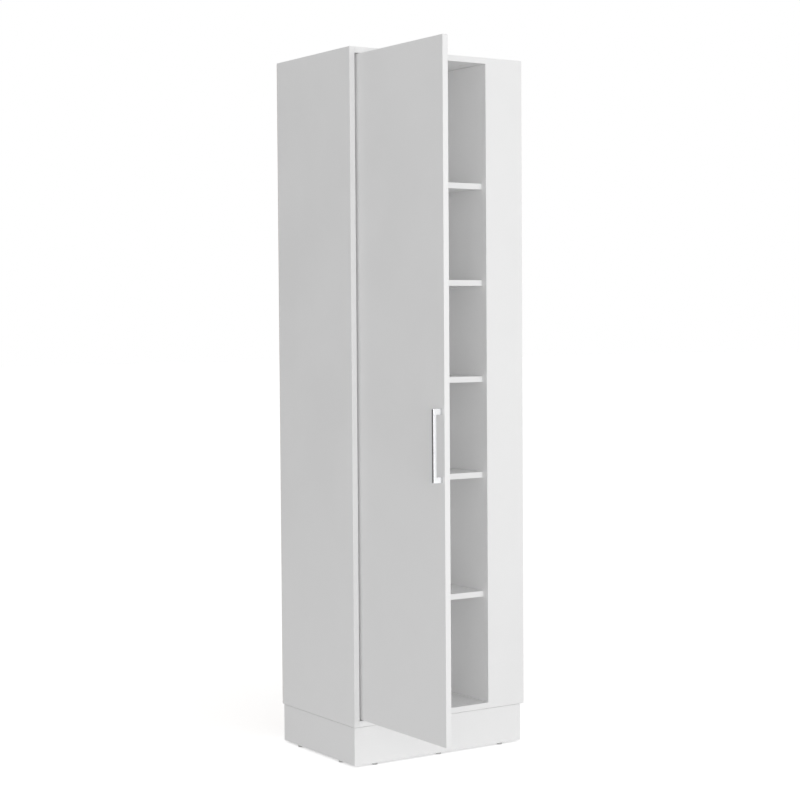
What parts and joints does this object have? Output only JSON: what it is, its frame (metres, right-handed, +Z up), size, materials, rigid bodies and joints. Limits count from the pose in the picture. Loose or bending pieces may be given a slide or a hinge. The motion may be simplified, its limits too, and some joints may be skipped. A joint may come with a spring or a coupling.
{
  "type": "broom cupboard",
  "caption": "Tall white cupboard on a plinth: a hinged inset door over shelves, a bar handle, and a narrow broom bay open at the right side.",
  "frame": {"origin": "on the floor, at the middle of the rectangle that the cupboard and its open door take up", "axes": "+X to the cupboard's right as seen from the front, +Y to its back, +Z up"},
  "size_m": [0.5346, 0.7416, 1.8],
  "materials": {
    "white_melamine": "fine-textured white melamine on chipboard, edges banded",
    "white_hardboard": "lacquered hardboard",
    "raw_pine": "sawn softwood",
    "satin_chrome": "satin chrome plating",
    "nickel_steel": "nickel-plated pressed steel",
    "zinc_steel": "bright zinc-plated steel",
    "glide_plastic": "grey polyethylene"
  },
  "bodies": {
    "cabinet": {"left_side_panel": "white_melamine", "top_panel": "white_melamine", "bottom_panel": "white_melamine", "partition_panel": "white_melamine", "blank_front_panel": "white_melamine", "back_panel": "white_hardboard", "shelf_1": "white_melamine", "shelf_2": "white_melamine", "shelf_3": "white_melamine", "shelf_4": "white_melamine", "shelf_5": "white_melamine", "shelf_2_pin_left_front": "zinc_steel", "shelf_2_pin_right_front": "zinc_steel", "shelf_2_pin_left_back": "zinc_steel", "shelf_2_pin_right_back": "zinc_steel", "shelf_4_pin_left_front": "zinc_steel", "shelf_4_pin_right_front": "zinc_steel", "shelf_4_pin_left_back": "zinc_steel", "shelf_4_pin_right_back": "zinc_steel", "broom_hook_rail": "nickel_steel", "hook_rail_screw_1": "zinc_steel", "hook_rail_screw_2": "zinc_steel", "plinth_front_board": "white_melamine", "plinth_back_board": "white_melamine", "plinth_left_board": "white_melamine", "plinth_right_board": "white_melamine", "corner_block_front_left": "raw_pine", "corner_block_front_right": "raw_pine", "corner_block_back_right": "raw_pine", "corner_block_back_left": "raw_pine", "glide_front_1": "glide_plastic", "glide_front_2": "glide_plastic", "glide_front_3": "glide_plastic", "glide_back_1": "glide_plastic", "glide_back_2": "glide_plastic", "glide_back_3": "glide_plastic", "glide_left_1": "glide_plastic", "glide_left_2": "glide_plastic", "glide_right_1": "glide_plastic", "glide_right_2": "glide_plastic", "hinge_arm_1": "nickel_steel", "hinge_arm_2": "nickel_steel", "hinge_arm_3": "nickel_steel", "hinge_arm_4": "nickel_steel", "hinge_plate_1": "nickel_steel", "hinge_plate_2": "nickel_steel", "hinge_plate_3": "nickel_steel", "hinge_plate_4": "nickel_steel"},
    "door": {"door_panel": "white_melamine", "handle": "satin_chrome", "handle_screw_1": "zinc_steel", "handle_screw_2": "zinc_steel", "hinge_cup_1": "nickel_steel", "hinge_cup_2": "nickel_steel", "hinge_cup_3": "nickel_steel", "hinge_cup_4": "nickel_steel", "hinge_pin_1": "zinc_steel", "hinge_pin_2": "zinc_steel", "hinge_pin_3": "zinc_steel", "hinge_pin_4": "zinc_steel"}
  },
  "joints": [
    {"name": "door_swing", "type": "hinge", "parent": "cabinet", "child": "door", "pos_m": [-0.23475, 0.01225, 0.951], "axis": [0, 0, 1], "range_deg": [-15, 90]}
  ]
}
